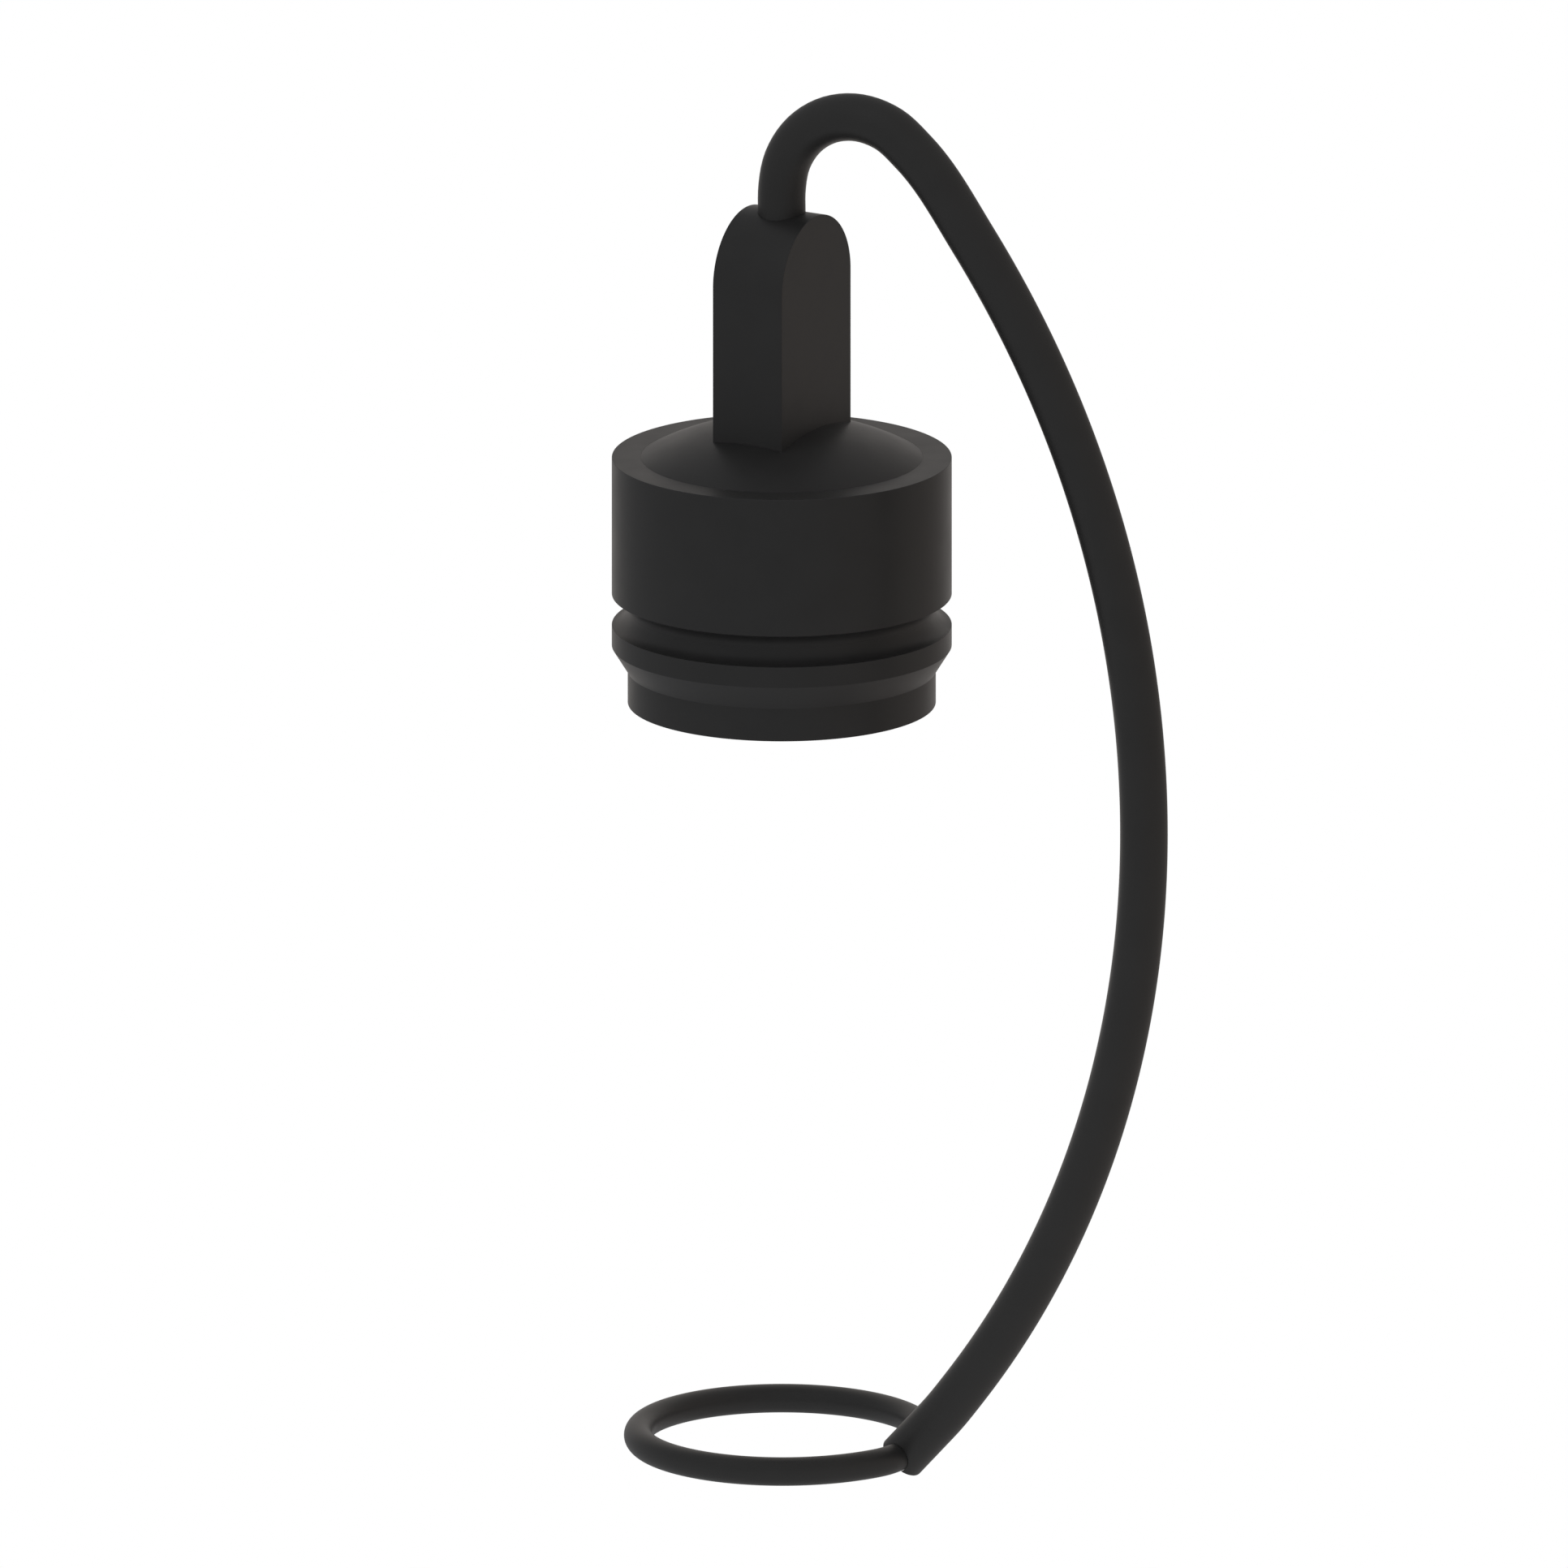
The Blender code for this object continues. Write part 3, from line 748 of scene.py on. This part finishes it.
def crimp(radius, height, angle):
    """How far the crimping tool's jaws have pushed the ferrule's wall in, at a place on it."""
    if radius < ferrule_high.x:
        return 0
    depth = 0
    for level in CRIMP_LEVELS:
        near = max(0, 1 - ((height - level) / CRIMP_HALF_HEIGHT) ** 2)
        depth += CRIMP_DEPTH * near * (1 + math.cos(CRIMP_DENTS * angle)) / 2
    return -depth


ferrule_low, ferrule_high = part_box("cord_ferrule")
ferrule_outline = rounded([
    (0, ferrule_low.z, 0),
    (ferrule_high.x, ferrule_low.z, FERRULE_ROUND),
    (ferrule_high.x, ferrule_high.z, FERRULE_ROUND),
    (WASHER_BORE_RADIUS, ferrule_high.z, FERRULE_ROUND),
    (WASHER_BORE_RADIUS, ferrule_low.z + FERRULE_FLOOR, MOULD_ROUND),
    (0, ferrule_low.z + FERRULE_FLOOR, 0),
])
wall_low = ferrule_low.z + FERRULE_ROUND
wall_high = ferrule_high.z - FERRULE_ROUND
wall_start = 1 + next(i for i, point in enumerate(ferrule_outline) if point[1] >= wall_low)
wall_rows = []
for row in range(1, FERRULE_ROWS):
    wall_rows.append((ferrule_high.x, wall_low + (wall_high - wall_low) * row / FERRULE_ROWS))
ferrule_outline[wall_start:wall_start] = wall_rows
ferrule = shape("crimped_ferrule", lathe(ferrule_outline, HOLE_SEGMENTS, crimp))
soft_aluminium = metal_finish(
    "soft_aluminium", ALUMINIUM_COLOUR, ALUMINIUM_ROUGHNESS, ALUMINIUM_LINE_SCALE, ALUMINIUM_LINE_DEPTH
)
dress(ferrule, soft_aluminium)
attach(ferrule, "tether")
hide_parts("cord_ferrule")


# Screw washer
# A soft sealing washer under the screw's head, moulded in black rubber, which keeps water out of the
# hole that the screw goes through.
SCREW_WASHER_ROUND = 0.00040

screw_washer_low, screw_washer_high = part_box("screw_washer")
screw_washer_outline = [
    (SCREW_HOLE_RADIUS, screw_washer_low.z, SCREW_WASHER_ROUND),
    (screw_washer_high.x, screw_washer_low.z, SCREW_WASHER_ROUND),
    (screw_washer_high.x, screw_washer_high.z, SCREW_WASHER_ROUND),
    (SCREW_HOLE_RADIUS, screw_washer_high.z, SCREW_WASHER_ROUND),
]
screw_washer = shape("screw_sealing_washer", lathe(rounded(screw_washer_outline), HOLE_SEGMENTS))
dress(screw_washer, black_rubber)
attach(screw_washer, "plug")
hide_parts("screw_washer")


# Clamp screw
# A round-headed socket screw of zinc-plated steel with a rolled 8 mm thread. It goes up through the
# nose into the handle's stem and draws the three mouldings together; its head is sunk in the nose.
STEEL_COLOUR = (0.62, 0.63, 0.65, 1)
STEEL_ROUGHNESS = 0.28
STEEL_LINE_SCALE = 7000
STEEL_LINE_DEPTH = 0.000004
SCREW_RADIUS = 0.0040
SCREW_HEAD_HEIGHT = 0.0044
SCREW_HEAD_ROUND = 0.0022
SCREW_HEAD_STEPS = 28
SCREW_CHAMFER = 0.0007
SCREW_ROUND = 0.00015
SOCKET_WIDTH = 0.0050
SOCKET_DEPTH = 0.0026
SOCKET_LEAD = 0.00035
HEXAGON_SIDES = 6
THREAD_PITCH = 0.00125
THREAD_DEPTH = 0.00072
THREAD_RUNOUT = 0.0012
THREAD_ROWS_PER_PITCH = 10


def thread(radius, height, angle):
    """The depth of the rolled thread at a place on the shank, run out to nothing at both ends."""
    if radius < SCREW_RADIUS or height <= head_top:
        return 0
    turn = height / THREAD_PITCH - angle / math.tau
    flank = abs(2 * (turn - math.floor(turn)) - 1)
    run_in = min(1, (height - head_top) / THREAD_RUNOUT)
    return -THREAD_DEPTH * flank * run_in


screw_low, screw_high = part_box("clamp_screw")
head_top = screw_low.z + SCREW_HEAD_HEIGHT
head_flat = screw_high.x - SCREW_HEAD_ROUND
screw_outline = [(0, screw_low.z)]
head_middle = (head_flat, screw_low.z + SCREW_HEAD_ROUND)
head_curve = arc(head_middle, SCREW_HEAD_ROUND, -90, 0, SCREW_HEAD_STEPS)
screw_outline += [(across, up) for across, up, _ in head_curve]
screw_outline += [
    (screw_high.x, head_top - SCREW_ROUND),
    (screw_high.x - SCREW_ROUND, head_top),
    (SCREW_RADIUS, head_top),
]
shank_top = screw_high.z - SCREW_CHAMFER
shank_rows = round((shank_top - head_top) / THREAD_PITCH * THREAD_ROWS_PER_PITCH)
for row in range(1, shank_rows + 1):
    screw_outline.append((SCREW_RADIUS, head_top + (shank_top - head_top) * row / shank_rows))
screw_outline += [(SCREW_RADIUS - THREAD_DEPTH - MOULD_ROUND, screw_high.z), (0, screw_high.z)]
screw = shape("socket_clamp_screw", lathe(screw_outline, HOLE_SEGMENTS, thread))

hexagon = SOCKET_WIDTH / math.sqrt(3)
socket_outline = [
    (0, screw_low.z - CUT_MARGIN),
    (hexagon, screw_low.z - CUT_MARGIN),
    (hexagon, screw_low.z + SOCKET_DEPTH),
    (0, screw_low.z + SOCKET_DEPTH + SOCKET_LEAD),
]
combine(screw, shape("screw_socket_cut", lathe(socket_outline, HEXAGON_SIDES)), "DIFFERENCE")
lead_outline = [
    (0, screw_low.z - SOCKET_LEAD),
    (hexagon + 2 * SOCKET_LEAD, screw_low.z - SOCKET_LEAD),
    (hexagon - SOCKET_LEAD, screw_low.z + 2 * SOCKET_LEAD),
    (0, screw_low.z + 2 * SOCKET_LEAD),
]
combine(screw, shape("screw_lead_cut", lathe(lead_outline, HOLE_SEGMENTS)), "DIFFERENCE")
plated_steel = metal_finish(
    "plated_steel", STEEL_COLOUR, STEEL_ROUGHNESS, STEEL_LINE_SCALE, STEEL_LINE_DEPTH
)
dress(screw, plated_steel)
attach(screw, "plug")
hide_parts("clamp_screw")


# Anchor ring
# The thin ring that goes round the coupling or its hose, moulded in black rubber of round section. It
# hangs level under the plug, and the tether's eye holds a short stretch of it straight.
RING_SEGMENTS = 256
WIRE_SIDES = 64
EYE_PULL_TURN = 0.28


def eye_pull(radius, height, angle):
    """How far the eye pulls the ring out of round: straight inside it, and round again beyond."""
    turn = math.remainder(angle, math.tau)
    return ring_radius / 2 * turn**2 / (1 + (turn / EYE_PULL_TURN) ** 4)


wire_section = arc((ring_radius, ring_level), wire_radius, 0, 360, WIRE_SIDES)[:-1]
ring_outline = [(across, up) for across, up, _ in wire_section]
ring = shape("anchor_hoop", lathe(ring_outline, RING_SEGMENTS, eye_pull))
dress(ring, black_rubber)
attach(ring, "ring")
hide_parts("anchor_ring")


# Floor
# A plain white floor, low enough for the ring to swing clear of it. The middle takes the object's
# shadow, and the edge fades to the white of the room. From below it is see-through.
FLOOR_LEVEL = -0.12
FLOOR_RADIUS = 0.40
FLOOR_SEGMENTS = 128
FLOOR_FADE = (0.09, 0.14)
FLOOR_COLOUR = (0.82, 0.82, 0.82, 1)
FLOOR_LIFT = 0.20


def seen_directly(tree):
    """1 for the rays that find the room white: from the camera, off gloss or through glass."""
    rays = add_node(tree, "ShaderNodeLightPath").outputs
    either = add_node(tree, "ShaderNodeMath", {
        0: rays["Is Camera Ray"], 1: rays["Is Glossy Ray"],
    }, operation="MAXIMUM")
    every = add_node(tree, "ShaderNodeMath", {
        0: either.outputs[0], 1: rays["Is Transmission Ray"],
    }, operation="MAXIMUM")
    return every.outputs[0]


floor_material = bpy.data.materials.new("white_floor")
floor_material.use_nodes = True
tree = floor_material.node_tree
tree.nodes.remove(tree.nodes["Principled BSDF"])
seen = seen_directly(tree)
place = add_node(tree, "ShaderNodeTexCoord").outputs["Object"]
from_middle = add_node(tree, "ShaderNodeVectorMath", {0: place}, operation="LENGTH").outputs["Value"]
fade = add_node(tree, "ShaderNodeMapRange", {
    "Value": from_middle, "From Min": FLOOR_FADE[0], "From Max": FLOOR_FADE[1],
}, interpolation_type="SMOOTHSTEP").outputs["Result"]
lift = add_node(tree, "ShaderNodeMath", {0: seen, 1: FLOOR_LIFT}, operation="MULTIPLY").outputs[0]
edge_white = add_node(tree, "ShaderNodeMath", {0: seen, 1: fade}, operation="MULTIPLY").outputs[0]
paint = add_node(tree, "ShaderNodeBsdfDiffuse", {"Color": FLOOR_COLOUR}).outputs[0]
glow = add_node(tree, "ShaderNodeEmission", {"Strength": lift}).outputs[0]
lit = add_node(tree, "ShaderNodeAddShader", {0: paint, 1: glow}).outputs[0]
white = add_node(tree, "ShaderNodeEmission", {"Strength": 1.0}).outputs[0]
top_side = add_node(tree, "ShaderNodeMixShader", {0: edge_white, 1: lit, 2: white}).outputs[0]
clear = add_node(tree, "ShaderNodeBsdfTransparent").outputs[0]
under = add_node(tree, "ShaderNodeNewGeometry").outputs["Backfacing"]
both_sides = add_node(tree, "ShaderNodeMixShader", {0: under, 1: top_side, 2: clear}).outputs[0]
tree.links.new(both_sides, tree.nodes["Material Output"].inputs["Surface"])

floor_form = bmesh.new()
bmesh.ops.create_circle(floor_form, cap_ends=True, radius=FLOOR_RADIUS, segments=FLOOR_SEGMENTS)
floor_mesh = bpy.data.meshes.new("floor")
floor_form.to_mesh(floor_mesh)
floor_form.free()
floor_mesh.materials.append(floor_material)
floor = bpy.data.objects.new("floor", floor_mesh)
floor.location = (0, 0, FLOOR_LEVEL)
bpy.context.collection.objects.link(floor)


# Light
# A white room with one soft lamp from the upper left. A grey tent, which only reflections see, stands
# between: in a bare white room the black plastic would shine far paler than it does in the photograph.
# Its cloth is brighter behind the object and near the floor, and warmer on the right.
ROOM_LIGHT = 0.88
LAMP_POWER = 0.7
LAMP_SIZE = 0.45
LAMP_PLACE = (-0.30, 0.42, 0.35)
TENT_RADIUS = 0.11
TENT_SUBDIVISIONS = 4
TENT_MIDDLE = (0, 0, -0.005)
TENT_COLOUR_LEFT = (0.268, 0.268, 0.272, 1)
TENT_COLOUR_RIGHT = (0.297, 0.262, 0.238, 1)
TENT_COLOUR_BACK = (0.562, 0.530, 0.503, 1)
TENT_BACK_REACH = (0.55, 0.90)
TENT_FLOOR_GAIN = 1.6
MIX_COLOURS = (6, 7)
MIX_RESULT = 2

world = bpy.data.worlds.new("white_room")
world.use_nodes = True
bpy.context.scene.world = world
tree = world.node_tree
strength = add_node(tree, "ShaderNodeMapRange", {
    "Value": seen_directly(tree), "To Min": ROOM_LIGHT, "To Max": 1.0,
})
background = tree.nodes["Background"]
background.inputs["Color"].default_value = (1, 1, 1, 1)
tree.links.new(strength.outputs["Result"], background.inputs["Strength"])

lamp_data = bpy.data.lights.new("soft_lamp", "AREA")
lamp_data.energy = LAMP_POWER
lamp_data.size = LAMP_SIZE
lamp = bpy.data.objects.new("soft_lamp", lamp_data)
lamp_right, lamp_up, lamp_back = LAMP_PLACE
lamp.location = view_middle + view_right * lamp_right + view_up * lamp_up + view_back * lamp_back
lamp.rotation_euler = (lamp.location - view_middle).to_track_quat("Z", "Y").to_euler()
lamp.visible_glossy = False
bpy.context.collection.objects.link(lamp)

tent_material = bpy.data.materials.new("grey_tent")
tent_material.use_nodes = True
tree = tent_material.node_tree
tree.nodes.remove(tree.nodes["Principled BSDF"])
place = add_node(tree, "ShaderNodeTexCoord").outputs["Object"]
sideways = add_node(tree, "ShaderNodeVectorMath", {0: place, 1: view_right}, operation="DOT_PRODUCT")
across_tent = add_node(tree, "ShaderNodeMapRange", {
    "Value": sideways.outputs["Value"], "From Max": TENT_RADIUS,
})
cloth = add_node(tree, "ShaderNodeMix", {
    "Factor": across_tent.outputs["Result"],
    MIX_COLOURS[0]: TENT_COLOUR_LEFT,
    MIX_COLOURS[1]: TENT_COLOUR_RIGHT,
}, data_type="RGBA")
tent_back = Vector((-view_back.x, -view_back.y, 0)).normalized()
backwards = add_node(tree, "ShaderNodeVectorMath", {0: place, 1: tent_back}, operation="DOT_PRODUCT")
into_back = add_node(tree, "ShaderNodeMapRange", {
    "Value": backwards.outputs["Value"],
    "From Min": TENT_BACK_REACH[0] * TENT_RADIUS,
    "From Max": TENT_BACK_REACH[1] * TENT_RADIUS,
})
cloth_round = add_node(tree, "ShaderNodeMix", {
    "Factor": into_back.outputs["Result"],
    MIX_COLOURS[0]: cloth.outputs[MIX_RESULT],
    MIX_COLOURS[1]: TENT_COLOUR_BACK,
}, data_type="RGBA")
height = add_node(tree, "ShaderNodeSeparateXYZ", {0: place}).outputs["Z"]
from_below = add_node(tree, "ShaderNodeMapRange", {
    "Value": height,
    "From Min": -TENT_RADIUS,
    "From Max": 0.0,
    "To Min": TENT_FLOOR_GAIN,
    "To Max": 1.0,
}).outputs["Result"]
cloth_glow = add_node(tree, "ShaderNodeEmission", {
    "Color": cloth_round.outputs[MIX_RESULT], "Strength": from_below,
})
tree.links.new(cloth_glow.outputs[0], tree.nodes["Material Output"].inputs["Surface"])
tent_form = bmesh.new()
bmesh.ops.create_icosphere(tent_form, subdivisions=TENT_SUBDIVISIONS, radius=TENT_RADIUS)
tent_mesh = bpy.data.meshes.new("grey_tent")
tent_form.to_mesh(tent_mesh)
tent_form.free()
tent_mesh.materials.append(tent_material)
tent = bpy.data.objects.new("grey_tent", tent_mesh)
tent.location = TENT_MIDDLE
tent.visible_camera = False
tent.visible_diffuse = False
tent.visible_transmission = False
tent.visible_shadow = False
bpy.context.collection.objects.link(tent)
